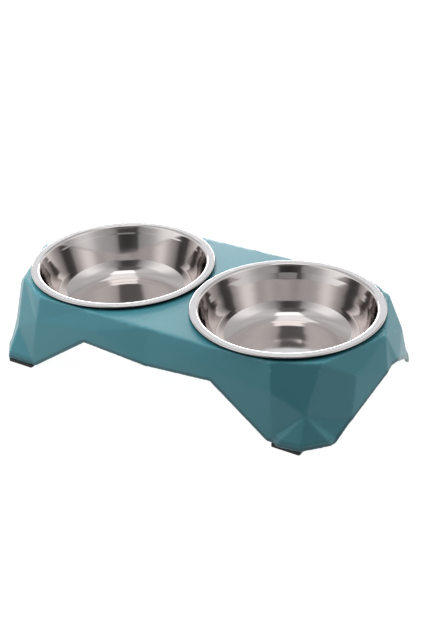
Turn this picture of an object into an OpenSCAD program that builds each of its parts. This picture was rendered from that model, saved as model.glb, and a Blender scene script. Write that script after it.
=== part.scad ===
// Double pet bowl: a low faceted stand that carries two lift-out steel bowls.
// Origin on the floor under the middle of the stand, +X along the length,
// +Y towards the back, +Z up. All lengths are in millimetres.

/* [Bowls] */
// Outer diameter of a bowl's rolled rim
rim_d = 160; // [120:1:200]
// Height of the rolled rim above the deck that it rests on
rim_h = 3.7; // [2.5:0.1:5]
// Width of the rim from its outer edge to the start of the mouth
rim_w = 6.8; // [5.5:0.1:9]
// Distance that the rolled edge turns back inwards under the rim
curl_w = 3; // [1:0.1:3.5]
// Depth from the top of the rim to the inside of the floor
bowl_depth = 43; // [35:1:58]
// Thickness of the pressed steel sheet
sheet_t = 0.7; // [0.5:0.1:1]
// Slope of the bowl's wall away from upright, in degrees
wall_taper = 18; // [5:1:22]
// Inside radius between the wall and the floor
floor_fillet = 20; // [10:1:26]
// Inside radius between the mouth and the wall
mouth_fillet = 2.6; // [1.5:0.1:3]
// Free gap between the two rims
bowl_gap = 2.5; // [1:0.5:20]
// Free space between a bowl's neck and its hole in the deck
neck_clearance = 1.1; // [0.4:0.1:2]

/* [Stand] */
// Height of the deck above the floor
deck_h = 65; // [56:0.5:90]
// Wall thickness of the moulded shell
wall_t = 3; // [2:0.1:4]
// Length of the stand beyond the rims at each end
end_flare = 14.5; // [12:0.5:20]
// Width of the stand beyond the rims at the front and the back
side_flare = 15.3; // [13:0.1:20]
// Thickness of the sole plate inside each leg
sole_t = 3; // [2:0.1:4]

/* [Feet] */
// Length of a rubber foot along the stand
foot_l = 25; // [18:1:26]
// Width of a rubber foot across the stand
foot_w = 18; // [12:1:20]
// Height of a rubber foot, which is the gap under the legs
foot_h = 3.2; // [2:0.1:4]
// Radius of a foot's corners
foot_corner_r = 1.5; // [0.5:0.1:3]
// Distance of a foot from the outer end of the leg's toe
foot_inset = 0.4; // [0.2:0.1:2]
// Distance that a foot stands out in front of the leg's toe
foot_proud = 0.4; // [0:0.1:1]

/* [Hidden] */
$fn = 96;

rim_r = rim_d / 2;
bowl_x = (rim_d + bowl_gap) / 2;
rim_top = deck_h + rim_h;
half_l = bowl_x + rim_r + end_flare;
half_w = rim_r + side_flare;

// Overrun of every cut, and the steps in the arcs of a bowl's section
cut_over = 1;
bead_steps = 10;
fillet_steps = 14;

// The centres of the rolled bead, the mouth's curve and the floor's fillet
bead_r = rim_h / 2;
bead_c = [rim_r - bead_r, -bead_r];
mouth_c = [rim_r - rim_w + sheet_t + sheet_t, -mouth_fillet];
wall_n = [cos(wall_taper), -sin(wall_taper)];
floor_c_z = floor_fillet - bowl_depth;
floor_c_r = (mouth_c * wall_n - mouth_fillet - floor_fillet + floor_c_z * sin(wall_taper)) / cos(wall_taper);
floor_c = [floor_c_r, floor_c_z];
neck_r = mouth_c[0] - mouth_fillet + sheet_t;
seat_r = neck_r + neck_clearance;

// Corners of the shell as shares of half its length, half its width and the
// deck's height. The front half is listed, and a half turn about Z gives the back.
deck_tip_share = [0.958, 0];
deck_end_share = [0.816, -0.635];
deck_bevel_share = [-0.716, -0.752];
deck_left_shoulder_share = [-0.63, -0.835];
deck_left_front_share = [-0.373, -0.834];
deck_mid_share = [-0.011, -0.835];
deck_right_front_share = [0.341, -0.834];
deck_right_shoulder_share = [0.617, -0.808];
brow_end_share = [0.933, -0.435, 0.757];
brow_left_share = [-0.287, -0.909, 0.812];
brow_right_share = [0.243, -0.896, 0.823];
hip_share = [0.643, -0.895, 0.671];
knee_share = [0.796, -0.832, 0.43];
arch_top_share = [0.347, -0.928, 0.601];
arch_mid_share = [0, -0.94, 0.545];
arch_foot_share = [0.645, -0.972];
end_peak_share = [0.994, 0, 0.601];
end_top_share = [1, -0.109, 0.583];
end_bend_share = [0.943, -0.546, 0.232];
heel_share = [0.916, -0.731];
left_heel_share = [-0.924, -0.678];
outer_toe_share = [0.907, -0.78];
left_outer_toe_share = [-0.899, -0.772];
inner_toe_share = [0.812, -0.975];
step_in_share = [0.671, -0.969];
step_out_share = [0.707, -1];
plinth_h_share = 0.114;
plinth_heel_share = [0.907, -0.717];
plinth_outer_share = [0.905, -0.784];
left_plinth_outer_share = [-0.879, -0.792];
plinth_toe_share = [0.811, -0.961];
plinth_in_share = [0.67, -0.958];
plinth_out_share = [0.703, -0.989];

function flip_x(p) = [-p[0], p[1], p[2]];
function half_turn(p) = [-p[0], -p[1], p[2]];
function on_deck(s) = [s[0] * half_l, s[1] * half_w, deck_h];
function on_side(s) = [s[0] * half_l, s[1] * half_w, s[2] * deck_h];
function on_sole(s) = [s[0] * half_l, s[1] * half_w, foot_h];
function on_plinth(s) = [s[0] * half_l, s[1] * half_w, plinth_h_share * deck_h];

deck_tip = on_deck(deck_tip_share);
deck_end = on_deck(deck_end_share);
deck_bevel = on_deck(deck_bevel_share);
deck_left_shoulder = on_deck(deck_left_shoulder_share);
deck_left_front = on_deck(deck_left_front_share);
deck_mid = on_deck(deck_mid_share);
deck_right_front = on_deck(deck_right_front_share);
deck_right_shoulder = on_deck(deck_right_shoulder_share);
brow_end = on_side(brow_end_share);
brow_left = on_side(brow_left_share);
brow_right = on_side(brow_right_share);
hip = on_side(hip_share);
knee = on_side(knee_share);
arch_top = on_side(arch_top_share);
arch_mid = on_side(arch_mid_share);
arch_foot = on_sole(arch_foot_share);
end_peak = on_side(end_peak_share);
end_top = on_side(end_top_share);
end_bend = on_side(end_bend_share);
heel = on_sole(heel_share);
left_heel = on_sole(left_heel_share);
outer_toe = on_sole(outer_toe_share);
left_outer_toe = on_sole(left_outer_toe_share);
inner_toe = on_sole(inner_toe_share);
step_in = on_sole(step_in_share);
step_out = on_sole(step_out_share);
plinth_heel = on_plinth(plinth_heel_share);
plinth_outer = on_plinth(plinth_outer_share);
left_plinth_outer = on_plinth(left_plinth_outer_share);
plinth_toe = on_plinth(plinth_toe_share);
plinth_in = on_plinth(plinth_in_share);
plinth_out = on_plinth(plinth_out_share);

// Edge of the deck and lower edge of the shell, along the front from left to right
front_deck_edge = [half_turn(deck_tip), flip_x(deck_end), deck_bevel, deck_left_shoulder,
                   deck_left_front, deck_mid, deck_right_front, deck_right_shoulder, deck_end];
front_low_edge = [half_turn(end_peak), flip_x(end_top), flip_x(end_bend), left_heel,
                  left_outer_toe, flip_x(inner_toe), flip_x(step_in), flip_x(arch_foot),
                  flip_x(arch_top), arch_mid, arch_top, arch_foot, step_in, step_out,
                  inner_toe, outer_toe, heel, end_bend, end_top];
deck_edge = concat(front_deck_edge, [for (p = front_deck_edge) half_turn(p)]);
low_edge = concat(front_low_edge, [for (p = front_low_edge) half_turn(p)]);

// Facets of the front half, each seen from outside with its corners anticlockwise
left_end_facets = [
    [half_turn(deck_tip), half_turn(end_peak), flip_x(end_top)],
    [half_turn(deck_tip), flip_x(end_top), flip_x(brow_end)],
    [half_turn(deck_tip), flip_x(brow_end), flip_x(deck_end)],
    [flip_x(brow_end), flip_x(end_top), flip_x(end_bend)],
    [flip_x(deck_end), flip_x(brow_end), flip_x(knee)],
    [flip_x(brow_end), flip_x(end_bend), flip_x(knee)],
    [flip_x(end_bend), left_heel, flip_x(knee)]];
left_leg_facets = [
    [flip_x(knee), left_heel, left_plinth_outer],
    [left_heel, left_outer_toe, left_plinth_outer],
    [flip_x(knee), left_plinth_outer, flip_x(plinth_toe)],
    [left_plinth_outer, left_outer_toe, flip_x(inner_toe)],
    [left_plinth_outer, flip_x(inner_toe), flip_x(plinth_toe)],
    [flip_x(knee), flip_x(plinth_toe), flip_x(plinth_in)],
    [flip_x(plinth_toe), flip_x(inner_toe), flip_x(step_in)],
    [flip_x(plinth_toe), flip_x(step_in), flip_x(plinth_in)],
    [flip_x(plinth_in), flip_x(step_in), flip_x(arch_foot)],
    [flip_x(knee), flip_x(plinth_in), flip_x(hip)],
    [flip_x(plinth_in), flip_x(arch_foot), flip_x(hip)]];
left_front_facets = [
    [flip_x(deck_end), flip_x(knee), flip_x(hip)],
    [flip_x(deck_end), flip_x(hip), deck_bevel],
    [deck_bevel, flip_x(hip), deck_left_shoulder],
    [deck_left_shoulder, flip_x(hip), deck_left_front],
    [deck_left_front, flip_x(hip), brow_left],
    [deck_left_front, brow_left, deck_mid],
    [flip_x(hip), flip_x(arch_foot), flip_x(arch_top)],
    [flip_x(hip), flip_x(arch_top), brow_left],
    [brow_left, flip_x(arch_top), arch_mid],
    [deck_mid, brow_left, arch_mid]];
right_front_facets = [
    [deck_mid, arch_mid, brow_right],
    [arch_mid, arch_top, brow_right],
    [deck_mid, brow_right, deck_right_front],
    [deck_right_front, brow_right, hip],
    [brow_right, arch_top, hip],
    [arch_top, arch_foot, hip],
    [deck_right_front, hip, deck_right_shoulder],
    [deck_right_shoulder, hip, knee],
    [deck_right_shoulder, knee, deck_end]];
right_leg_facets = [
    [hip, arch_foot, plinth_in],
    [arch_foot, step_in, plinth_in],
    [hip, plinth_in, knee],
    [knee, plinth_in, plinth_out],
    [plinth_in, step_in, step_out],
    [plinth_in, step_out, plinth_out],
    [knee, plinth_out, plinth_toe],
    [plinth_out, step_out, inner_toe],
    [plinth_out, inner_toe, plinth_toe],
    [knee, plinth_toe, plinth_outer],
    [plinth_toe, inner_toe, outer_toe],
    [plinth_toe, outer_toe, plinth_outer],
    [knee, plinth_outer, plinth_heel],
    [plinth_outer, outer_toe, heel],
    [plinth_outer, heel, plinth_heel]];
right_end_facets = [
    [knee, plinth_heel, end_bend],
    [plinth_heel, heel, end_bend],
    [knee, end_bend, brow_end],
    [knee, brow_end, deck_end],
    [brow_end, end_bend, end_top],
    [deck_end, brow_end, deck_tip],
    [brow_end, end_top, deck_tip],
    [deck_tip, end_top, end_peak]];
front_facets = concat(left_end_facets, left_leg_facets, left_front_facets,
                      right_front_facets, right_leg_facets, right_end_facets);
side_facets = concat(front_facets, [for (f = front_facets) [for (p = f) half_turn(p)]]);

// Inner corner that lies one wall inside an outer one
function unit(v) = v / norm(v);
function facet_normal(f) = unit(cross(f[1] - f[0], f[2] - f[0]));
function has(list, p) = len([for (q = list) if (q == p) q]) > 0;
function normals_at(p) = [for (f = side_facets) if (has(f, p)) facet_normal(f)];
function total(list, i = 0) = i == len(list) - 1 ? list[i] : list[i] + total(list, i + 1);
function mean_normal(p) = unit(total(normals_at(p)));
function mean_lean(p, n) = total([for (m = normals_at(p)) m * n]) / len(normals_at(p));
function level(n) = [n[0], n[1], 0];
function deck_inner(p, n) = p - wall_t * (1 - n[2]) * level(n) / (level(n) * level(n)) - [0, 0, wall_t];
function edge_inner(p, n) = p - wall_t * level(n) / (level(n) * level(n));
function side_inner(p, n) = p - wall_t * n / mean_lean(p, n);
function inner(p) =
    has(deck_edge, p) ? deck_inner(p, mean_normal(p)) :
    has(low_edge, p) ? edge_inner(p, mean_normal(p)) :
    side_inner(p, mean_normal(p));

// A flat ring of corners filled as a fan round its middle
function ring_fan(ring, mid) =
    [for (i = [0 : len(ring) - 1]) [mid, ring[i], ring[(i + 1) % len(ring)]]];
// The two triangles of each stretch between the outer and the inner lower edge
function edge_strip(ring) =
    [for (i = [0 : len(ring) - 1])
        let (a = ring[i], b = ring[(i + 1) % len(ring)])
        each [[a, inner(a), inner(b)], [a, inner(b), b]]];
function turned(facets) = [for (f = facets) [f[0], f[2], f[1]]];

module closed_facets(facets) {
    corners = [for (f = facets) each f];
    polyhedron(points = corners,
               faces = [for (i = [0 : len(facets) - 1]) [3 * i + 2, 3 * i + 1, 3 * i]],
               convexity = 6);
}

module shell() {
    inner_sides = [for (f = side_facets) [for (p = f) inner(p)]];
    inner_deck = [for (p = deck_edge) inner(p)];
    closed_facets(concat(
        side_facets,
        ring_fan(deck_edge, [0, 0, deck_h]),
        turned(inner_sides),
        turned(ring_fan(inner_deck, [0, 0, deck_h - wall_t])),
        edge_strip(low_edge)));
}

// Where the sole plate and the foot of a leg lie
foot_x = inner_toe[0] - foot_inset - foot_l / 2;
foot_y = inner_toe[1] - foot_proud + foot_w / 2;
sole_edge_share = 0.7;
function sunk(p) = p + sole_edge_share * (inner(p) - p);

// The plate starts half way between its outline's first two corners, clear of the arch
module sole(outline) {
    back_y = foot_y + foot_w / 2 + sole_t;
    corners = [for (p = outline) sunk(p)];
    first = (corners[0] + corners[1]) / 2;
    last = corners[len(corners) - 1];
    translate([0, 0, foot_h])
        linear_extrude(sole_t)
            polygon([[first[0], back_y],
                     [first[0], first[1]],
                     for (i = [1 : len(corners) - 1]) [corners[i][0], corners[i][1]],
                     [last[0], back_y]]);
}

module front_soles() {
    sole([arch_foot, step_in, step_out, inner_toe, outer_toe]);
    sole([flip_x(arch_foot), flip_x(step_in), flip_x(inner_toe), left_outer_toe]);
}

module stand() {
    color([0.36, 0.6, 0.65])
        difference() {
            union() {
                shell();
                front_soles();
                rotate([0, 0, 180])
                    front_soles();
            }
            for (side = [-1, 1])
                translate([side * bowl_x, 0, deck_h - wall_t - cut_over])
                    cylinder(r = seat_r, h = wall_t + 2 * cut_over);
        }
}

// Points of an arc in a bowl's section, from angle a to angle b
function arc(c, r, a, b, steps) =
    [for (i = [0 : steps]) c + r * [cos(a + (b - a) * i / steps), sin(a + (b - a) * i / steps)]];

// Section of a bowl, with the radius along X and the height below the rim's top along Y
function bowl_section() = concat(
    [[0, -bowl_depth]],
    arc(floor_c, floor_fillet, -90, -wall_taper, fillet_steps),
    arc(mouth_c, mouth_fillet, 180 - wall_taper, 90, bead_steps),
    arc(bead_c, bead_r, 90, -90, bead_steps),
    [[bead_c[0] - curl_w, -rim_h]],
    [[bead_c[0] - curl_w, sheet_t - rim_h]],
    arc(bead_c, bead_r - sheet_t, -90, 90, bead_steps),
    arc(mouth_c, mouth_fillet - sheet_t, 90, 180 - wall_taper, bead_steps),
    arc(floor_c, floor_fillet + sheet_t, -wall_taper, -90, fillet_steps),
    [[0, -bowl_depth - sheet_t]]);

module bowl(side) {
    color([0.8, 0.79, 0.78])
        translate([side * bowl_x, 0, rim_top])
            rotate_extrude()
                polygon(bowl_section());
}

module left_bowl() {
    bowl(-1);
}

module right_bowl() {
    bowl(1);
}

// A rubber pad under the toe of one leg, with round upright corners
module foot(side_x, side_y) {
    color([0.14, 0.15, 0.16])
        translate([side_x * foot_x, side_y * foot_y, 0])
            linear_extrude(foot_h)
                union() {
                    square([foot_l - 2 * foot_corner_r, foot_w], center = true);
                    square([foot_l, foot_w - 2 * foot_corner_r], center = true);
                    for (x = [-1, 1], y = [-1, 1])
                        translate([x * (foot_l / 2 - foot_corner_r), y * (foot_w / 2 - foot_corner_r)])
                            circle(r = foot_corner_r, $fn = 24);
                }
}

module front_left_foot() {
    foot(-1, 1);
}

module front_right_foot() {
    foot(1, 1);
}

module back_left_foot() {
    foot(-1, -1);
}

module back_right_foot() {
    foot(1, -1);
}

stand();
left_bowl();
right_bowl();
front_left_foot();
front_right_foot();
back_left_foot();
back_right_foot();
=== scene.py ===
"""Looks of a double pet bowl: a faceted plastic stand, two steel bowls, four rubber feet.

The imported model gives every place, and the sizes of the bowls here repeat its own, apart
from a slimmer roll at the rim. This script works in metres, in the model's own frame, and
sets up a plain light studio with a camera at the photo's view.
"""
import enum
import logging
import math
from dataclasses import dataclass, field
from typing import Iterable

import bmesh
import bpy
from mathutils import Matrix, Vector, kdtree


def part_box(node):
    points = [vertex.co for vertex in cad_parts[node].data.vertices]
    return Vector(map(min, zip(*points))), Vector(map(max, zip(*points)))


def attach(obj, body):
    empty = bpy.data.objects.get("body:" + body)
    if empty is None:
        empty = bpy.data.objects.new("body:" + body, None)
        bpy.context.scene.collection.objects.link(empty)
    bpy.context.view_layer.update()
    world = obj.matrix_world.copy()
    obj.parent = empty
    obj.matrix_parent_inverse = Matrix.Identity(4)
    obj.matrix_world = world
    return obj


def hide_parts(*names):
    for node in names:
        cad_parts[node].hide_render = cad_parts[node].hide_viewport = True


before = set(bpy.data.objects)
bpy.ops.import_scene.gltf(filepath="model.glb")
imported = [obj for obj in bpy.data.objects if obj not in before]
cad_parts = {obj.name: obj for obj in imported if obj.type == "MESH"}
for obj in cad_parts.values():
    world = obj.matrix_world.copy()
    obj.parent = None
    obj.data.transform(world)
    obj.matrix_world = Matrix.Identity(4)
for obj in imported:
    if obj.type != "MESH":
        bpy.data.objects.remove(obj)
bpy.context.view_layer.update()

LOG = logging.getLogger("pet_bowl")
MM = 0.001
MERGE_DISTANCE = 0.002 * MM
LIP_ATTRIBUTE = "lip_distance"
PLASTIC_IOR = 1.5

Colour = tuple[float, float, float]
Point = tuple[float, float]
Levels = tuple[tuple[float, float], ...]
Socket = bpy.types.NodeSocket


class Side(enum.Enum):
    """Which end of the stand a bowl hangs in."""

    LEFT = "left"
    RIGHT = "right"

    @property
    def node(self) -> str:
        """Name of the bowl's node and of the body that it is."""
        return f"{self.value}_bowl"


class Corner(enum.Enum):
    """Which leg a foot is glued under."""

    FRONT_LEFT = "front_left_foot"
    FRONT_RIGHT = "front_right_foot"
    BACK_LEFT = "back_left_foot"
    BACK_RIGHT = "back_right_foot"


class Graph:
    """Adds and joins the nodes of one material, world or node group."""

    def __init__(self, tree: bpy.types.NodeTree) -> None:
        """Starts with an empty tree.

        Args:
            tree: the node tree to fill.
        """
        tree.nodes.clear()
        self.tree = tree

    def add(self, kind: str, values: dict[str | int, object] | None = None,
            **settings: object) -> bpy.types.Node:
        """Adds a node.

        Args:
            kind: the node's type name without its ShaderNode prefix, or a full type name.
            values: constants and sockets for the node's inputs, by name or number.
            **settings: the node's own settings.

        Returns:
            The new node.
        """
        full = kind if kind.startswith("NodeGroup") else f"ShaderNode{kind}"
        node = self.tree.nodes.new(full)
        for name, value in settings.items():
            setattr(node, name, value)
        for key, value in (values or {}).items():
            if isinstance(value, Socket):
                self.tree.links.new(value, node.inputs[key])
            else:
                node.inputs[key].default_value = value
        return node

    def maths(self, operation: str, *terms: object) -> Socket:
        """Adds a Math node.

        Args:
            operation: the operation's name.
            *terms: constants or sockets, in order.

        Returns:
            The result's socket.
        """
        return self.add("Math", dict(enumerate(terms)), operation=operation).outputs[0]

    def step(self, value: Socket, start: object, end: object, smooth: bool = True) -> Socket:
        """Adds a step from 0 to 1 between two values.

        Args:
            value: what is compared.
            start: the value at which the step is 0.
            end: the value at which it is 1.
            smooth: whether its ends are rounded.

        Returns:
            The step's socket.
        """
        return self.add("MapRange", {"Value": value, "From Min": start, "From Max": end},
                        interpolation_type="SMOOTHSTEP" if smooth else "LINEAR").outputs[0]

    def ramp(self, fac: Socket, stops: Iterable[tuple[float, float]]) -> Socket:
        """Adds a smooth grey ramp.

        Args:
            fac: where on the ramp, from 0 to 1.
            stops: pairs of place and grey level, in rising order.

        Returns:
            The colour's socket.
        """
        node = self.add("ValToRGB", {0: fac})
        node.color_ramp.interpolation = "CARDINAL"
        elements = node.color_ramp.elements
        for i, (place, level) in enumerate(stops):
            stop = elements[i] if i < 2 else elements.new(place)
            stop.position = place
            stop.color = (level, level, level, 1)
        return node.outputs[0]

    def mix(self, fac: object, first: object, second: object) -> Socket:
        """Mixes two colours.

        Args:
            fac: share of the second colour.
            first: first colour.
            second: second colour.

        Returns:
            The mixed colour's socket.
        """
        return self.add("Mix", {0: fac, 6: first, 7: second}, data_type="RGBA").outputs[2]

    def bump(self, height: Socket, distance: float, strength: float = 1.0,
             normal: Socket | None = None) -> Socket:
        """Adds a Bump node.

        Args:
            height: the height, from 0 to 1.
            distance: the depth that 1 stands for.
            strength: how much of the effect is used.
            normal: the normal that it changes, if it isn't the mesh's own.

        Returns:
            The new normal's socket.
        """
        values = {"Height": height, "Strength": strength, "Distance": distance}
        if normal is not None:
            values["Normal"] = normal
        return self.add("Bump", values).outputs[0]

    def group(self, tree: bpy.types.NodeTree, values: dict[str, object]) -> bpy.types.Node:
        """Places a node group.

        Args:
            tree: the group.
            values: constants and sockets for its inputs.

        Returns:
            The group's node.
        """
        return self.add("Group", values, node_tree=tree)


def rgba(colour: Colour) -> tuple[float, float, float, float]:
    """A colour with full cover."""
    return (*colour, 1.0)


def new_material(name: str) -> tuple[bpy.types.Material, Graph]:
    """Makes an empty material.

    Args:
        name: its name.

    Returns:
        The material and its graph.
    """
    material = bpy.data.materials.new(name)
    material.use_nodes = True
    return material, Graph(material.node_tree)


def new_group(name: str, inputs: dict[str, tuple[str, object]],
              outputs: dict[str, str]) -> tuple[Graph, dict[str, Socket], dict[str, Socket]]:
    """Makes an empty node group with named sockets.

    Args:
        name: the group's name.
        inputs: socket type and default of each input.
        outputs: socket type of each output.

    Returns:
        The group's graph, its input sockets and its output sockets, both by name.
    """
    tree = bpy.data.node_groups.new(name, "ShaderNodeTree")
    for label, (kind, default) in inputs.items():
        socket = tree.interface.new_socket(label, in_out="INPUT", socket_type=f"NodeSocket{kind}")
        if default is not None:
            socket.default_value = default
    for label, kind in outputs.items():
        tree.interface.new_socket(label, in_out="OUTPUT", socket_type=f"NodeSocket{kind}")
    graph = Graph(tree)
    entry, leave = graph.add("NodeGroupInput"), graph.add("NodeGroupOutput")
    return graph, dict(entry.outputs.items()), dict(leave.inputs.items())


@dataclass(frozen=True)
class SharedEffects:
    """The node groups that more than one finish uses."""

    grain: bpy.types.NodeTree
    wear_and_edge_highlight: bpy.types.NodeTree
    rim_shadow_ring: bpy.types.NodeTree

    @classmethod
    def build(cls) -> "SharedEffects":
        """Builds each group once."""
        return cls(cls._grain(), cls._wear_and_edge_highlight(), cls._rim_shadow_ring())

    @staticmethod
    def _grain() -> bpy.types.NodeTree:
        """Makes fine grain with slow unevenness.

        Returns:
            The group, which puts out a height, a roughness and a colour.
        """
        speck_share = 0.5
        graph, given, out = new_group(
            "surface_grain",
            {"Vector": ("Vector", None), "Grain": ("Float", 1800.0), "Cloud": ("Float", 22.0),
             "Roughness": ("Float", 0.4), "Spread": ("Float", 0.1),
             "Colour": ("Color", (0.5, 0.5, 0.5, 1)), "Tone": ("Float", 0.1)},
            {"Height": "Float", "Roughness": "Float", "Colour": "Color"},
        )
        link = graph.tree.links.new
        fine = graph.add("TexNoise", {
            "Vector": given["Vector"], "Scale": given["Grain"], "Detail": 3.0})
        cloud = graph.add("TexNoise", {
            "Vector": given["Vector"], "Scale": given["Cloud"], "Detail": 4.0, "Roughness": 0.6})
        uneven = graph.maths("SUBTRACT", cloud.outputs[0], 0.5)
        speck = graph.maths("SUBTRACT", fine.outputs[0], 0.5)
        both = graph.maths("ADD", uneven, graph.maths("MULTIPLY", speck, speck_share))
        rough = graph.maths("MULTIPLY_ADD", both, given["Spread"], given["Roughness"])
        bright = graph.maths("MULTIPLY_ADD", uneven, given["Tone"], 1.0)
        toned = graph.add("VectorMath", {0: given["Colour"], "Scale": bright}, operation="SCALE")
        link(rough, out["Roughness"])
        link(fine.outputs[0], out["Height"])
        link(toned.outputs[0], out["Colour"])
        return graph.tree

    @staticmethod
    def _wear_and_edge_highlight() -> bpy.types.NodeTree:
        """Makes edges lighter in uneven stretches: wear on the rubber, and wear plus a painted
        highlight along the plastic's creases and lips.

        Returns:
            The group, which puts out a colour and a mask.
        """
        sharpest = (0.55, 0.61)
        least, spread = 0.5, 0.8
        graph, given, out = new_group(
            "wear_and_edge_highlight",
            {"Vector": ("Vector", None), "Edge": ("Float", 0.5), "From": ("Float", 0.52),
             "To": ("Float", 0.6), "Colour": ("Color", (0.5, 0.5, 0.5, 1)),
             "Edge Colour": ("Color", (0.7, 0.7, 0.7, 1)), "Amount": ("Float", 0.3),
             "Lip Highlight": ("Float", 0.0)},
            {"Colour": "Color", "Mask": "Float"},
        )
        link = graph.tree.links.new
        patch = graph.add("TexNoise", {"Vector": given["Vector"], "Scale": 60.0, "Detail": 3.0})
        uneven = graph.maths("MULTIPLY_ADD", patch.outputs[0], spread, least)
        found = graph.step(given["Edge"], given["From"], given["To"])
        # The lip input paints a highlight along the sharpest edges.
        lip = graph.step(given["Edge"], *sharpest)
        both = graph.maths("ADD", graph.maths("MULTIPLY", found, given["Amount"]),
                           graph.maths("MULTIPLY", lip, given["Lip Highlight"]))
        mask = graph.maths("MULTIPLY", both, uneven)
        link(mask, out["Mask"])
        link(graph.mix(mask, given["Colour"], given["Edge Colour"]), out["Colour"])
        return graph.tree

    @staticmethod
    def _rim_shadow_ring() -> bpy.types.NodeTree:
        """Makes a painted shadow line close under a rolled rim.

        Returns:
            The group, which puts out a mask.
        """
        graph, given, out = new_group(
            "rim_shadow_ring",
            {"Vector": ("Vector", None), "Centre": ("Vector", None), "Radius": ("Float", 0.08),
             "Width": ("Float", 0.001), "Reach": ("Float", 0.005)},
            {"Mask": "Float"},
        )
        off = graph.add("VectorMath", {0: given["Vector"], 1: given["Centre"]},
                        operation="SUBTRACT").outputs[0]
        flat = graph.add("VectorMath", {0: off, 1: (1, 1, 0)}, operation="MULTIPLY").outputs[0]
        radius = graph.add("VectorMath", {0: flat}, operation="LENGTH").outputs["Value"]
        away = graph.maths("ABSOLUTE", graph.maths("SUBTRACT", radius, given["Radius"]))
        mask = graph.step(away, given["Width"], 0.0)
        below = graph.maths("ABSOLUTE", graph.add("SeparateXYZ", {0: off}).outputs["Z"])
        near = graph.maths("LESS_THAN", below, given["Reach"])
        graph.tree.links.new(graph.maths("MULTIPLY", mask, near), out["Mask"])
        return graph.tree


@dataclass(frozen=True)
class MouldedPlastic:
    """Teal plastic with a satin gloss, as it comes out of the mould, with painted highlights along
    its creases and painted shade at its lower edges and under the bowls' rims.
    """

    name: str = "stand_plastic"
    colour: Colour = (0.042, 0.196, 0.236)
    # Lighter edge colour: wear plus a painted highlight along creases and lips.
    edge_colour: Colour = (0.11, 0.36, 0.42)
    shadow: Colour = (0.001, 0.008, 0.012)
    roughness: float = 0.36
    roughness_spread: float = 0.1
    gloss: float = 0.48
    grain: float = 1500.0
    grain_depth: float = 0.02 * MM
    grain_strength: float = 0.25
    cloud: float = 26.0
    tone: float = 0.12
    worn_from: float = 0.503
    worn_to: float = 0.53
    worn_amount: float = 0.35
    lip_highlight: float = 0.4
    worn_polish: float = -0.12
    # Painted shade in a band just inside the stand's lower edges.
    lip_band: tuple[float, float, float, float] = (0.4 * MM, 1.2 * MM, 1.8 * MM, 4.0 * MM)
    lip_shade: float = 0.6
    # Painted shadow: a dark line on the deck just under each bowl's rolled rim.
    seat_shadow: float = 77.4 * MM
    seat_shadow_width: float = 1.4 * MM
    seat_shadow_reach: float = 4.2 * MM

    def build(self, effects: SharedEffects, seats: Iterable[Vector]) -> bpy.types.Material:
        """Makes the material.

        Args:
            effects: the shared node groups.
            seats: the middles of the bowls' rims, which the painted shadow lines go round.

        Returns:
            The material.
        """
        material, graph = new_material(self.name)
        place = graph.add("TexCoord").outputs["Object"]
        edge = graph.add("NewGeometry").outputs["Pointiness"]
        grain = graph.group(effects.grain, {
            "Vector": place, "Grain": self.grain, "Cloud": self.cloud,
            "Roughness": self.roughness, "Spread": self.roughness_spread,
            "Colour": rgba(self.colour), "Tone": self.tone})
        # Lighter creases and lips: wear plus a painted highlight along them.
        worn = graph.group(effects.wear_and_edge_highlight, {
            "Vector": place, "Edge": edge, "From": self.worn_from, "To": self.worn_to,
            "Colour": grain.outputs["Colour"], "Edge Colour": rgba(self.edge_colour),
            "Amount": self.worn_amount, "Lip Highlight": self.lip_highlight})
        # Painted shade along the lower edges, mixed towards the shadow colour.
        colour = graph.mix(self._painted_lip_shade(graph), worn.outputs["Colour"], rgba(self.shadow))
        # Painted shadow: a dark line on the deck just under each bowl's rolled rim.
        for seat in seats:
            line = graph.group(effects.rim_shadow_ring, {
                "Vector": place, "Centre": tuple(seat), "Radius": self.seat_shadow,
                "Width": self.seat_shadow_width, "Reach": self.seat_shadow_reach})
            colour = graph.mix(line.outputs["Mask"], colour, rgba(self.shadow))
        rough = graph.maths("MULTIPLY_ADD", worn.outputs["Mask"], self.worn_polish,
                            grain.outputs["Roughness"])
        shader = graph.add("BsdfPrincipled", {
            "Base Color": colour, "Roughness": rough, "IOR": PLASTIC_IOR,
            "Normal": graph.bump(grain.outputs["Height"], self.grain_depth, self.grain_strength),
            "Specular IOR Level": self.gloss})
        graph.add("OutputMaterial", {"Surface": shader.outputs[0]})
        return material

    def _painted_lip_shade(self, graph: Graph) -> Socket:
        """Adds painted shade just inside the stand's lower edges.

        Args:
            graph: the material's graph.

        Returns:
            The painted shade's mask.
        """
        away = graph.add("Attribute", attribute_name=LIP_ATTRIBUTE).outputs["Fac"]
        near, full, past, far = self.lip_band
        band = graph.maths("MULTIPLY", graph.step(away, near, full), graph.step(away, far, past))
        return graph.maths("MULTIPLY", band, self.lip_shade)


@dataclass(frozen=True)
class SpinMark:
    """A shallow step that the lathe left round a bowl's wall.

    Its places are heights under the rim, its depth is across the wall.
    """

    top: float
    middle: float
    bottom: float
    depth: float


MARKS = {
    Side.LEFT: SpinMark(-6.2 * MM, -7.4 * MM, -14.0 * MM, 0.035 * MM),
    Side.RIGHT: SpinMark(-7.3 * MM, -12.6 * MM, -20.0 * MM, 0.2 * MM),
}


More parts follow.
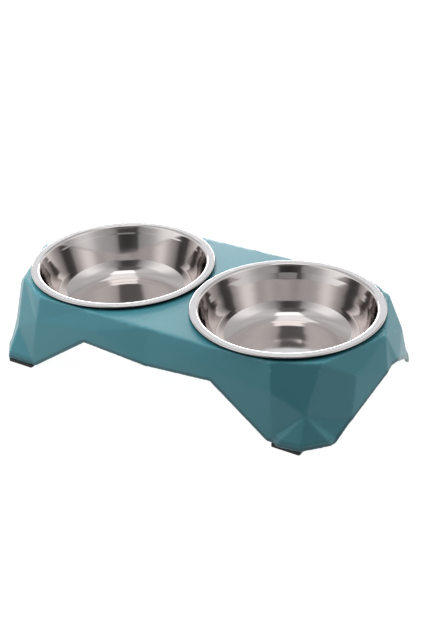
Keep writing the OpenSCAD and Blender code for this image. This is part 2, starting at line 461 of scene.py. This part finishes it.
@dataclass(frozen=True)
class PressedSteel:
    """Stainless steel, polished on a lathe, with painted shade under its rolled rim."""

    name: str
    mark: SpinMark
    colour: Colour = (0.8, 0.755, 0.742)
    roughness: float = 0.05
    roughness_spread: float = 0.05
    tone: float = 0.06
    grain: float = 900.0
    cloud: float = 30.0
    ring_scale: float = 1300.0
    ring_turns: float = 1.6
    ring_depth: float = 0.001 * MM
    ring_roughness: float = 0.06
    wave_scale: float = 26.0
    wave_depth: float = 0.06 * MM
    spin_scale: float = 75.0
    spin_depth: float = 0.14 * MM
    least_radius: float = 0.5 * MM
    # Painted shade on the underside of the rolled rim, where it sits on the deck.
    curl_shade: Colour = (0.02, 0.04, 0.045)
    curl_shade_top: float = -0.55 * MM
    curl_shade_full: float = -0.95 * MM
    curl_shade_radius: float = 76.0 * MM

    def build(self, effects: SharedEffects, centre: Vector) -> bpy.types.Material:
        """Makes the material of one bowl.

        Args:
            effects: the shared node groups.
            centre: the middle of the bowl's rim, which the polishing rings go round.

        Returns:
            The material.
        """
        material, graph = new_material(self.name)
        place = graph.add("TexCoord").outputs["Object"]
        local = graph.add("Mapping", {"Vector": place, "Location": -centre}).outputs[0]
        x, y, z = graph.add("SeparateXYZ", {0: local}).outputs
        squares = (graph.maths("MULTIPLY", c, c) for c in (x, y))
        radius = graph.maths("SQRT", graph.maths("ADD", *squares))
        lines = self._rings(graph, x, y, z, radius)
        grain = graph.group(effects.grain, {
            "Vector": local, "Grain": self.grain, "Cloud": self.cloud,
            "Roughness": self.roughness, "Spread": self.roughness_spread,
            "Colour": rgba(self.colour), "Tone": self.tone})
        rough = graph.maths("MULTIPLY_ADD", lines, self.ring_roughness, grain.outputs["Roughness"])
        # Painted shade on the underside of the rolled rim, where it sits on the deck.
        below = graph.step(z, self.curl_shade_top, self.curl_shade_full, smooth=False)
        outside = graph.maths("GREATER_THAN", radius, self.curl_shade_radius)
        colour = graph.mix(graph.maths("MULTIPLY", below, outside), grain.outputs["Colour"],
                           rgba(self.curl_shade))
        shader = graph.add("BsdfPrincipled", {
            "Base Color": colour, "Metallic": 1.0, "Roughness": rough,
            "Normal": self._normal(graph, local, z, radius, lines)})
        graph.add("OutputMaterial", {"Surface": shader.outputs[0]})
        return material

    def _rings(self, graph: Graph, x: Socket, y: Socket, z: Socket, radius: Socket) -> Socket:
        """Adds the fine lines that polishing leaves round the bowl.

        Args:
            graph: the material's graph.
            x: first place across the bowl.
            y: second place across the bowl.
            z: height over the rim.
            radius: distance from the bowl's axis.

        Returns:
            The lines' noise.
        """
        safe = graph.maths("MAXIMUM", radius, self.least_radius)
        around = [graph.maths("MULTIPLY", graph.maths("DIVIDE", c, safe), self.ring_turns)
                  for c in (x, y)]
        out = graph.maths("MULTIPLY", radius, self.ring_scale)
        ring = graph.add("CombineXYZ", {0: around[0], 1: around[1], 2: out})
        return graph.add("TexNoise", {
            "Vector": ring.outputs[0], "W": graph.maths("MULTIPLY", z, self.ring_scale),
            "Scale": 1.0, "Detail": 4.0, "Roughness": 0.7}, noise_dimensions="4D").outputs[0]

    def _normal(self, graph: Graph, local: Socket, z: Socket, radius: Socket,
                lines: Socket) -> Socket:
        """Adds the sheet's slow waves, its turned unevenness, its step and its polishing lines.

        Args:
            graph: the material's graph.
            local: place from the middle of the rim.
            z: height over the rim.
            radius: distance from the bowl's axis.
            lines: the polishing lines.

        Returns:
            The normal's socket.
        """
        wave = graph.add("TexNoise", {"Vector": local, "Scale": self.wave_scale, "Detail": 1.0})
        turned = graph.add("TexNoise", {
            "W": graph.maths("SUBTRACT", z, radius), "Scale": self.spin_scale, "Detail": 1.0},
            noise_dimensions="1D")
        rise = graph.step(z, self.mark.top, self.mark.middle, smooth=False)
        fall = graph.step(z, self.mark.middle, self.mark.bottom, smooth=False)
        normal = graph.bump(turned.outputs[0], self.spin_depth)
        normal = graph.bump(graph.maths("SUBTRACT", rise, fall), self.mark.depth, normal=normal)
        normal = graph.bump(wave.outputs[0], self.wave_depth, normal=normal)
        return graph.bump(lines, self.ring_depth, normal=normal)


@dataclass(frozen=True)
class MattRubber:
    """Black rubber with a fine dull grain."""

    name: str = "foot_rubber"
    colour: Colour = (0.008, 0.009, 0.011)
    edge_colour: Colour = (0.02, 0.021, 0.023)
    roughness: float = 0.72
    roughness_spread: float = 0.2
    grain: float = 2600.0
    grain_depth: float = 0.12 * MM
    grain_strength: float = 0.5
    cloud: float = 90.0
    tone: float = 0.5
    worn_from: float = 0.51
    worn_to: float = 0.6
    worn_amount: float = 0.6

    def build(self, effects: SharedEffects) -> bpy.types.Material:
        """Makes the material.

        Args:
            effects: the shared node groups.

        Returns:
            The material.
        """
        material, graph = new_material(self.name)
        place = graph.add("TexCoord").outputs["Object"]
        edge = graph.add("NewGeometry").outputs["Pointiness"]
        grain = graph.group(effects.grain, {
            "Vector": place, "Grain": self.grain, "Cloud": self.cloud,
            "Roughness": self.roughness, "Spread": self.roughness_spread,
            "Colour": rgba(self.colour), "Tone": self.tone})
        worn = graph.group(effects.wear_and_edge_highlight, {
            "Vector": place, "Edge": edge, "From": self.worn_from, "To": self.worn_to,
            "Colour": grain.outputs["Colour"], "Edge Colour": rgba(self.edge_colour),
            "Amount": self.worn_amount})
        shader = graph.add("BsdfPrincipled", {
            "Base Color": worn.outputs["Colour"], "Roughness": grain.outputs["Roughness"],
            "Normal": graph.bump(grain.outputs["Height"], self.grain_depth, self.grain_strength),
            "IOR": PLASTIC_IOR})
        graph.add("OutputMaterial", {"Surface": shader.outputs[0]})
        return material


def new_object(bm: bmesh.types.BMesh, name: str) -> bpy.types.Object:
    """Turns a mesh into an object with smooth shading.

    Args:
        bm: the mesh, which is freed.
        name: the object's name.

    Returns:
        The object, linked to the scene.
    """
    for face in bm.faces:
        face.smooth = True
    mesh = bpy.data.meshes.new(name)
    bm.to_mesh(mesh)
    bm.free()
    piece = bpy.data.objects.new(name, mesh)
    bpy.context.scene.collection.objects.link(piece)
    return piece


def finished(bm: bmesh.types.BMesh, name: str, material: bpy.types.Material, body: str,
             node: str) -> bpy.types.Object:
    """Turns a mesh into a piece that stands for a node.

    Args:
        bm: the mesh, which is freed.
        name: the piece's name.
        material: its material.
        body: the body that it rides on.
        node: the node that it replaces.

    Returns:
        The new object.
    """
    piece = new_object(bm, name)
    piece.data.materials.append(material)
    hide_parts(node)
    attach(piece, body)
    triangles = sum(len(p.vertices) - 2 for p in piece.data.polygons)
    LOG.info("%s: %d triangles on %s", name, triangles, body)
    return piece


def merged_copy(node: str) -> bmesh.types.BMesh:
    """A node's mesh, copied with its loose triangles joined.

    Args:
        node: the node's name.

    Returns:
        The copy, closed and with large flat faces.
    """
    flat = math.radians(0.05)
    bm = bmesh.new()
    bm.from_mesh(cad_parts[node].data)
    bmesh.ops.remove_doubles(bm, verts=bm.verts[:], dist=MERGE_DISTANCE)
    bmesh.ops.dissolve_limit(bm, angle_limit=flat, verts=bm.verts[:], edges=bm.edges[:])
    return bm


def relax(bm: bmesh.types.BMesh, verts: list[bmesh.types.BMVert]) -> None:
    """Moves vertices half way to the middle of their neighbours."""
    bmesh.ops.smooth_vert(bm, verts=verts, factor=0.5, use_axis_x=True, use_axis_y=True,
                          use_axis_z=True)


@dataclass
class MouldedStand:
    """The stand: a thin shell whose facets meet in soft creases and whose lips are round."""

    node: str = "stand"
    body: str = "base"
    facet_edge: float = 5.0 * MM
    crease_edge: float = 0.9 * MM
    crease_reach: float = 6.0 * MM
    crease_angle: float = math.radians(3)
    flat_angle: float = math.radians(0.5)
    slack: float = 1.35
    rounds: int = 8
    even_steps: int = 2
    soft_steps: int = 3
    lip_angle: float = math.radians(60)
    lip_top: float = 50.0 * MM
    crease_points: kdtree.KDTree | None = field(default=None, repr=False)

    def build(self, material: bpy.types.Material) -> bpy.types.Object:
        """Makes the stand.

        Args:
            material: the moulded plastic.

        Returns:
            The stand's object.
        """
        bm = merged_copy(self.node)
        bmesh.ops.triangulate(bm, faces=bm.faces[:])
        self.crease_points = self._points_along(bm, self.crease_angle)
        lip_points = self._points_along(bm, self.lip_angle, self.lip_top)
        for _ in range(self.rounds):
            if not self._split_long_edges(bm):
                break
            self._even_out(bm)
        layer = bm.verts.layers.float.new(LIP_ATTRIBUTE)
        for vert in bm.verts:
            vert[layer] = lip_points.find(vert.co)[2]
        for _ in range(self.soft_steps):
            relax(bm, bm.verts[:])
        return finished(bm, "moulded_stand", material, self.body, self.node)

    @staticmethod
    def _points_along(bm: bmesh.types.BMesh, angle: float,
                      top: float = math.inf) -> kdtree.KDTree:
        """Finds points a millimetre apart along the edges that are sharper than an angle.

        Args:
            bm: the stand's mesh.
            angle: the least angle between an edge's faces.
            top: the height that such an edge must lie below.

        Returns:
            The points, ready to be searched.
        """
        points: list[Vector] = []
        for edge in bm.edges:
            start, end = (v.co.copy() for v in edge.verts)
            if edge.calc_face_angle(0.0) > angle and max(start.z, end.z) < top:
                steps = max(1, math.ceil(edge.calc_length() / MM))
                points += [start.lerp(end, i / steps) for i in range(steps + 1)]
        tree = kdtree.KDTree(len(points))
        for i, point in enumerate(points):
            tree.insert(point, i)
        tree.balance()
        return tree

    def _wanted(self, point: Vector) -> float:
        """The length that an edge should have at a point."""
        away = min(1.0, self.crease_points.find(point)[2] / self.crease_reach)
        return self.crease_edge + (self.facet_edge - self.crease_edge) * away

    def _split_long_edges(self, bm: bmesh.types.BMesh) -> bool:
        """Halves each edge that is too long.

        Args:
            bm: the stand's mesh.

        Returns:
            True if any was.
        """
        long = [e for e in bm.edges if e.calc_length()
                > self.slack * self._wanted((e.verts[0].co + e.verts[1].co) / 2)]
        if long:
            bmesh.ops.subdivide_edges(bm, edges=long, cuts=1)
            bmesh.ops.triangulate(bm, faces=[f for f in bm.faces if len(f.verts) > 3],
                                  quad_method="SHORT_EDGE", ngon_method="BEAUTY")
        return bool(long)

    def _even_out(self, bm: bmesh.types.BMesh) -> None:
        """Turns and slides edges inside the flat faces until their triangles are even.

        Args:
            bm: the stand's mesh.
        """
        for _ in range(self.even_steps):
            flat = [e for e in bm.edges if e.calc_face_angle(1.0) < self.flat_angle]
            bmesh.ops.beautify_fill(bm, faces=bm.faces[:], edges=flat, method="ANGLE")
            creased = {v for e in bm.edges if e.calc_face_angle(1.0) >= self.flat_angle
                       for v in e.verts}
            relax(bm, [v for v in bm.verts if v not in creased])


@dataclass
class HangingBowl:
    """A pressed steel bowl with its edge rolled under, turned from one section."""

    side: Side
    rim_radius: float = 80.0 * MM
    rim_height: float = 3.7 * MM
    rim_width: float = 6.8 * MM
    roll_radius: float = 1.1 * MM
    tuck: float = math.radians(-60)
    curl_width: float = 4.85 * MM
    depth: float = 43.0 * MM
    sheet: float = 0.7 * MM
    taper: float = math.radians(18)
    floor_fillet: float = 20.0 * MM
    mouth_fillet: float = 2.6 * MM
    floor_steps: int = 36
    mouth_steps: int = 20
    roll_steps: int = 24
    under_roll_steps: int = 12
    under_mouth_steps: int = 10
    under_floor_steps: int = 20
    turn_steps: int = 240
    long_run: float = 2.0 * MM
    guards: tuple[float, ...] = (0.02, 0.3, 0.7, 0.98)
    centre: Vector = field(default_factory=Vector)

    def __post_init__(self) -> None:
        """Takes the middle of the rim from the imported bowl."""
        low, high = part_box(self.side.node)
        self.centre = Vector(((low[0] + high[0]) / 2, (low[1] + high[1]) / 2, high[2]))

    def build(self, material: bpy.types.Material) -> bpy.types.Object:
        """Makes the bowl.

        Args:
            material: the steel, turned round this bowl's middle.

        Returns:
            The bowl's object.
        """
        bm = bmesh.new()
        verts = [bm.verts.new(self.centre + Vector((r, 0, z))) for r, z in self._section()]
        edges = [bm.edges.new(pair) for pair in zip(verts, verts[1:])]
        bmesh.ops.spin(bm, geom=verts + edges, cent=self.centre, axis=(0, 0, 1),
                       angle=2 * math.pi, steps=self.turn_steps, use_merge=True)
        bmesh.ops.remove_doubles(bm, verts=bm.verts[:], dist=MERGE_DISTANCE)
        bmesh.ops.recalc_face_normals(bm, faces=bm.faces[:])
        name = f"{self.side.value}_steel_bowl"
        return finished(bm, name, material, self.side.node, self.side.node)

    def _section(self) -> list[Point]:
        """The bowl's closed section, from the middle of its floor round the rim and back.

        Returns:
            Pairs of radius and height from the rim's top.
        """
        roll, inner_roll = self.roll_radius, self.roll_radius - self.sheet
        roll_c = (self.rim_radius - roll, -roll)
        mouth_c = (self.rim_radius - self.rim_width + 2 * self.sheet, -self.mouth_fillet)
        floor_z = self.floor_fillet - self.depth
        reach = (mouth_c[0] * math.cos(self.taper) - mouth_c[1] * math.sin(self.taper)
                 - self.mouth_fillet - self.floor_fillet + floor_z * math.sin(self.taper))
        floor_c = (reach / math.cos(self.taper), floor_z)
        down, slant, up = -math.pi / 2, -self.taper, math.pi / 2
        curl_r = self.rim_radius - self.curl_width
        bottom, inner_bottom = -self.rim_height, self.sheet - self.rim_height
        return self._guarded([
            [(0.0, -self.depth)],
            self._arc(floor_c, self.floor_fillet, down, slant, self.floor_steps),
            self._arc(mouth_c, self.mouth_fillet, math.pi + slant, up, self.mouth_steps),
            self._arc(roll_c, roll, up, self.tuck, self.roll_steps),
            [(self._tucked(roll_c, roll, bottom), bottom)],
            [(curl_r, bottom)],
            [(curl_r, inner_bottom)],
            [(self._tucked(roll_c, inner_roll, inner_bottom), inner_bottom)],
            self._arc(roll_c, inner_roll, self.tuck, up, self.under_roll_steps),
            self._arc(mouth_c, self.mouth_fillet - self.sheet, up, math.pi + slant,
                      self.under_mouth_steps),
            self._arc(floor_c, self.floor_fillet + self.sheet, slant, down,
                      self.under_floor_steps),
            [(0.0, -self.depth - self.sheet)],
        ])

    def _tucked(self, centre: Point, radius: float, height: float) -> float:
        """Where the roll's straight underside, leaving its arc smoothly, reaches a height.

        Args:
            centre: radius and height of the arc's centre.
            radius: the arc's radius.
            height: the height, from the rim's top.

        Returns:
            The distance from the bowl's axis there.
        """
        start = Vector(centre) + radius * Vector((math.cos(self.tuck), math.sin(self.tuck)))
        return start.x + math.tan(self.tuck) * (start.y - height)

    def _guarded(self, parts: list[list[Point]]) -> list[Point]:
        """Joins arcs by runs with a point close to each end, so that they stay flat when shaded.

        Args:
            parts: the arcs, in order.

        Returns:
            All points in order.
        """
        points = list(parts[0])
        for part in parts[1:]:
            start, end = Vector(points[-1]), Vector(part[0])
            if (end - start).length > self.long_run:
                points += [tuple(start.lerp(end, share)) for share in self.guards]
            points += part
        return points

    @staticmethod
    def _arc(centre: Point, radius: float, start: float, end: float, steps: int) -> list[Point]:
        """Points along an arc of the section.

        Args:
            centre: radius and height of its centre.
            radius: its radius.
            start: its first angle.
            end: its last angle.
            steps: how many parts it has.

        Returns:
            The points, both ends included.
        """
        turns = (start + (end - start) * i / steps for i in range(steps + 1))
        return [(centre[0] + radius * math.cos(t), centre[1] + radius * math.sin(t))
                for t in turns]


@dataclass
class GluedFoot:
    """A rubber pad with softened edges under one leg."""

    corner: Corner
    body: str = "base"
    sharp_angle: float = math.radians(60)
    edge_radius: float = 0.5 * MM
    edge_steps: int = 3
    longest_edge: float = 3.0 * MM
    split_rounds: int = 3

    def build(self, material: bpy.types.Material) -> bpy.types.Object:
        """Makes the pad.

        Args:
            material: the rubber.

        Returns:
            The pad's object.
        """
        node = self.corner.value
        bm = merged_copy(node)
        sharp = [e for e in bm.edges if e.calc_face_angle(0.0) > self.sharp_angle]
        bmesh.ops.bevel(bm, geom=sharp, affect="EDGES", offset=self.edge_radius,
                        segments=self.edge_steps, profile=0.5, material=-1, clamp_overlap=True)
        bmesh.ops.triangulate(bm, faces=bm.faces[:])
        for _ in range(self.split_rounds):
            long = [e for e in bm.edges if e.calc_length() > self.longest_edge]
            bmesh.ops.subdivide_edges(bm, edges=long, cuts=1)
            bmesh.ops.triangulate(bm, faces=[f for f in bm.faces if len(f.verts) > 3])
        return finished(bm, f"rubber_{node}", material, self.body, node)


def direction(azimuth: float, elevation: float) -> Vector:
    """A unit vector towards an azimuth from +X and an elevation, both in radians."""
    flat = math.cos(elevation)
    return Vector((math.cos(azimuth) * flat, math.sin(azimuth) * flat, math.sin(elevation)))


@dataclass(frozen=True)
class PhotoCamera:
    """The camera, solved from the two rims. Its azimuth is counted from straight ahead."""

    azimuth: float = math.radians(32.97)
    elevation: float = math.radians(29.75)
    roll: float = math.radians(-2.31)
    distance: float = 0.98035
    target: tuple[float, float, float] = (0.03537, -0.04390, 0.0687)
    lens: float = 70.0
    sensor: float = 36.0
    clip: tuple[float, float] = (0.01, 50.0)

    def build(self) -> None:
        """Makes the camera and gives it to the scene."""
        back = direction(self.azimuth - math.pi / 2, self.elevation)
        right = direction(self.azimuth, 0.0)
        turn = Matrix.Rotation(self.roll, 3, back)
        axes = Matrix((turn @ right, turn @ back.cross(right), back)).transposed()
        data = bpy.data.cameras.new("photo_camera")
        data.sensor_fit, data.sensor_width, data.lens = "AUTO", self.sensor, self.lens
        data.clip_start, data.clip_end = self.clip
        camera = bpy.data.objects.new("photo_camera", data)
        place = Matrix.Translation(Vector(self.target) + back * self.distance)
        camera.matrix_world = place @ axes.to_4x4()
        bpy.context.scene.collection.objects.link(camera)
        bpy.context.scene.camera = camera


@dataclass(frozen=True)
class Panel:
    """A bright rectangle of the light tent, on a plane one unit above the object.

    The first two numbers are its ends towards the camera, the next two its ends across.
    """

    near: float
    far: float
    left: float
    right: float
    level: float
    tint: Colour = (1.0, 1.0, 1.0)


@dataclass(frozen=True)
class SoftLamp:
    """A broad square lamp that faces the object and that gloss doesn't see."""

    name: str
    azimuth: float
    elevation: float
    distance: float
    size: float
    power: float

    def build(self) -> None:
        """Makes the lamp."""
        data = bpy.data.lights.new(self.name, "AREA")
        data.shape, data.size, data.energy = "SQUARE", self.size, self.power
        lamp = bpy.data.objects.new(self.name, data)
        towards = direction(math.radians(self.azimuth), math.radians(self.elevation))
        lamp.location = self.distance * towards
        lamp.rotation_euler = lamp.location.to_track_quat("Z", "Y").to_euler()
        lamp.visible_glossy = lamp.visible_camera = False
        bpy.context.scene.collection.objects.link(lamp)


@dataclass(frozen=True)
class Studio:
    """A pale floor, soft lamps, and a light tent that only gloss sees.

    The three bands of the tent's walls are pairs of azimuth, in degrees, and level. Where a
    band ends and the next one begins is given as shares of the tent's radius.
    """

    tent_radius: float = 3.0
    tent_segments: tuple[int, int] = (96, 48)
    tent_foot: float = -1.0 * MM
    low_top: tuple[float, float] = (0.16, 0.26)
    middle_top: tuple[float, float] = (0.72, 0.86)
    panel_edge: float = 0.02
    least_height: float = 10.0 * MM
    floor_overhang: float = 1.2
    floor_segments: int = 64
    floor_white: float = 0.66
    seen_glow: float = 0.96
    seen_shadow: float = 0.15
    sky: float = 0.34
    camera_azimuth: float = 303.0
    walls: Levels = (
        (180, 0.54), (192, 0.5), (200, 0.54), (208, 0.66), (217, 0.86), (225, 0.98), (234, 1.0),
        (243, 0.93), (252, 0.77), (260, 0.6), (269, 0.44), (276, 0.31), (281, 0.13), (286, 0.08),
        (304, 0.06), (311, 0.12), (320, 0.28), (330, 0.4), (341, 0.54), (350, 0.71), (359, 0.87),
        (368, 0.96), (378, 0.91), (390, 0.71), (398, 0.57), (408, 0.51), (444, 0.47),
        (452, 0.41), (480, 0.5), (510, 0.48), (528, 0.57), (540, 0.54))
    upper_walls: Levels = (
        (180, 0.6), (192, 0.5), (204, 0.55), (234, 0.63), (250, 0.6), (259, 0.5), (265, 0.24),
        (270, 0.14), (300, 0.12), (314, 0.13), (319, 0.2), (325, 0.42), (336, 0.53), (360, 0.62),
        (375, 0.62), (402, 0.54), (426, 0.56), (450, 0.46), (510, 0.48), (540, 0.6))
    low_walls: Levels = (
        (180, 1.25), (208, 1.25), (219, 1.1), (228, 0.95), (237, 0.9), (246, 0.8), (255, 0.56),
        (262, 0.42), (270, 0.34), (280, 0.27), (284, 0.07), (309, 0.05), (312, 0.22),
        (316, 0.34), (327, 0.37), (337, 0.4), (346, 0.53), (353, 0.67), (364, 0.7), (375, 0.58),
        (385, 0.4), (395, 0.5), (410, 1.1), (430, 1.15), (450, 0.9), (460, 0.6), (510, 0.75),
        (540, 1.25))
    panels: tuple[Panel, ...] = (
        Panel(-0.03, 0.28, -0.19, 0.19, 1.35),
        Panel(-0.2, -0.03, -0.17, 0.14, 1.0),
        Panel(-0.61, -0.2, -0.17, 0.14, 1.0),
        Panel(-2.3, -1.38, -3.0, 3.0, 0.87, (0.95, 0.99, 1.03)),
        Panel(-9.0, -2.3, -1.0, 1.0, 8.0, (0.97, 1.0, 1.02)),
        Panel(2.9, 4.4, -1.1, 0.6, 0.28))
    lamps: tuple[SoftLamp, ...] = (
        SoftLamp("rear_lamp", 140.0, 65.0, 1.5, 1.0, 13.5),
        SoftLamp("near_lamp", 220.0, 45.0, 0.45, 0.3, 0.86),
        SoftLamp("side_lamp", 40.0, 11.0, 1.5, 0.56, 9.2))

    def build(self) -> None:
        """Makes the floor, the tent, the lamps and the white surroundings."""
        self._floor()
        self._tent()
        for lamp in self.lamps:
            lamp.build()
        self._white_world()

    def _floor(self) -> None:
        """A disc that looks white to the camera and in gloss, and keeps a soft shadow."""
        bm = bmesh.new()
        bmesh.ops.create_circle(bm, cap_ends=True, radius=self.tent_radius * self.floor_overhang,
                                segments=self.floor_segments)
        floor = self._stage_piece(bm, "studio_floor")
        material, graph = new_material("pale_floor")
        plain = graph.add("BsdfDiffuse", {"Color": rgba((self.floor_white,) * 3)})
        shaded = graph.add("BsdfDiffuse", {"Color": rgba((self.seen_shadow,) * 3)})
        glow = graph.add("Emission", {"Color": (1, 1, 1, 1), "Strength": self.seen_glow})
        lit = graph.add("AddShader", {0: shaded.outputs[0], 1: glow.outputs[0]})
        both = graph.add("MixShader", {
            0: self._seen_directly(graph), 1: plain.outputs[0], 2: lit.outputs[0]})
        graph.add("OutputMaterial", {"Surface": both.outputs[0]})
        floor.data.materials.append(material)

    def _tent(self) -> None:
        """A half sphere that only gloss sees."""
        across, up = self.tent_segments
        bm = bmesh.new()
        bmesh.ops.create_uvsphere(bm, u_segments=across, v_segments=up, radius=self.tent_radius)
        bmesh.ops.bisect_plane(bm, geom=bm.verts[:] + bm.edges[:] + bm.faces[:],
                               plane_co=(0, 0, self.tent_foot), plane_no=(0, 0, 1),
                               clear_inner=True)
        bmesh.ops.reverse_faces(bm, faces=bm.faces[:])
        tent = self._stage_piece(bm, "light_tent")
        tent.visible_camera = tent.visible_diffuse = tent.visible_shadow = False
        material, graph = new_material("light_tent")
        place = graph.add("TexCoord").outputs["Object"]
        base = self._panels(graph, place, self._walls(graph, place))
        glow = graph.add("Emission", {"Color": base, "Strength": 1.0})
        graph.add("OutputMaterial", {"Surface": glow.outputs[0]})
        tent.data.materials.append(material)

    def _walls(self, graph: Graph, place: Socket) -> Socket:
        """Adds the three bands of the tent's walls.

        Args:
            graph: the tent's graph.
            place: place on the tent.

        Returns:
            The walls' colour.
        """
        x, y, z = graph.add("SeparateXYZ", {0: place}).outputs
        height = graph.maths("DIVIDE", z, self.tent_radius)
        turn = graph.maths("DIVIDE", graph.maths("ARCTAN2", y, x), 2 * math.pi)
        share = graph.maths("ADD", turn, 0.5)
        low, middle, upper = (
            graph.ramp(share, [((azimuth - 180) / 360, level) for azimuth, level in levels])
            for levels in (self.low_walls, self.walls, self.upper_walls))
        base = graph.mix(graph.step(height, *self.low_top), low, middle)
        return graph.mix(graph.step(height, *self.middle_top), base, upper)

    def _panels(self, graph: Graph, place: Socket, base: Socket) -> Socket:
        """Lays the bright panels over the tent's walls.

        Args:
            graph: the tent's graph.
            place: place on the tent.
            base: the walls' colour.

        Returns:
            The tent's colour.
        """
        a = math.radians(self.camera_azimuth)
        safe = graph.maths("MAXIMUM", graph.add("SeparateXYZ", {0: place}).outputs[2],
                           self.least_height)
        dots = [graph.add("VectorMath", {0: place, 1: axis}, operation="DOT_PRODUCT").outputs[1]
                for axis in ((math.cos(a), math.sin(a), 0), (-math.sin(a), math.cos(a), 0))]
        along, across = (graph.maths("DIVIDE", d, safe) for d in dots)
        for panel in self.panels:
            colour = rgba(tuple(panel.level * c for c in panel.tint))
            base = graph.mix(self._patch(graph, along, across, panel), base, colour)
        return base

    def _patch(self, graph: Graph, along: Socket, across: Socket, panel: Panel) -> Socket:
        """A panel's mask, with soft edges.

        Args:
            graph: the tent's graph.
            along: place along the camera's direction.
            across: place across it.
            panel: the panel.

        Returns:
            The mask.
        """
        soft = self.panel_edge
        mask, *others = (graph.step(value, start, end) for value, start, end in (
            (along, panel.near - soft, panel.near + soft),
            (along, panel.far + soft, panel.far - soft),
            (across, panel.left - soft, panel.left + soft),
            (across, panel.right + soft, panel.right - soft)))
        for other in others:
            mask = graph.maths("MULTIPLY", mask, other)
        return mask

    def _white_world(self) -> None:
        """White for what is seen or mirrored, and dark for the light on the object."""
        world = bpy.data.worlds.new("studio_world")
        world.use_nodes = True
        bpy.context.scene.world = world
        graph = Graph(world.node_tree)
        white = graph.add("Background", {"Color": (1, 1, 1, 1), "Strength": 1.0})
        plain = graph.add("Background", {"Color": rgba((self.sky,) * 3), "Strength": 1.0})
        both = graph.add("MixShader", {
            0: self._seen_directly(graph), 1: plain.outputs[0], 2: white.outputs[0]})
        graph.add("OutputWorld", {"Surface": both.outputs[0]})

    @staticmethod
    def _seen_directly(graph: Graph) -> Socket:
        """Tells rays that see or mirror a thing from those that only carry its light.

        Args:
            graph: the graph of the floor or the world.

        Returns:
            1 for camera, glossy and transmission rays, and otherwise 0.
        """
        path = graph.add("LightPath").outputs
        seen = graph.maths("MAXIMUM", path["Is Camera Ray"], path["Is Glossy Ray"])
        return graph.maths("MAXIMUM", seen, path["Is Transmission Ray"])

    @staticmethod
    def _stage_piece(bm: bmesh.types.BMesh, name: str) -> bpy.types.Object:
        """Makes a piece of the studio.

        Args:
            bm: its mesh, which is freed.
            name: its name.

        Returns:
            The new object.
        """
        piece = new_object(bm, name)
        return piece


def main() -> None:
    """Builds the object and its studio."""
    logging.basicConfig(level=logging.INFO, format="%(message)s")
    PhotoCamera().build()
    bpy.context.scene.view_settings.view_transform = "Standard"
    effects = SharedEffects.build()
    bowls = [HangingBowl(side) for side in Side]
    plastic = MouldedPlastic().build(effects, [bowl.centre for bowl in bowls])
    MouldedStand().build(plastic)
    for bowl in bowls:
        steel = PressedSteel(f"{bowl.side.value}_bowl_steel", MARKS[bowl.side])
        bowl.build(steel.build(effects, bowl.centre))
    rubber = MattRubber().build(effects)
    for corner in Corner:
        GluedFoot(corner).build(rubber)
    Studio().build()


if __name__ == "__main__":
    main()
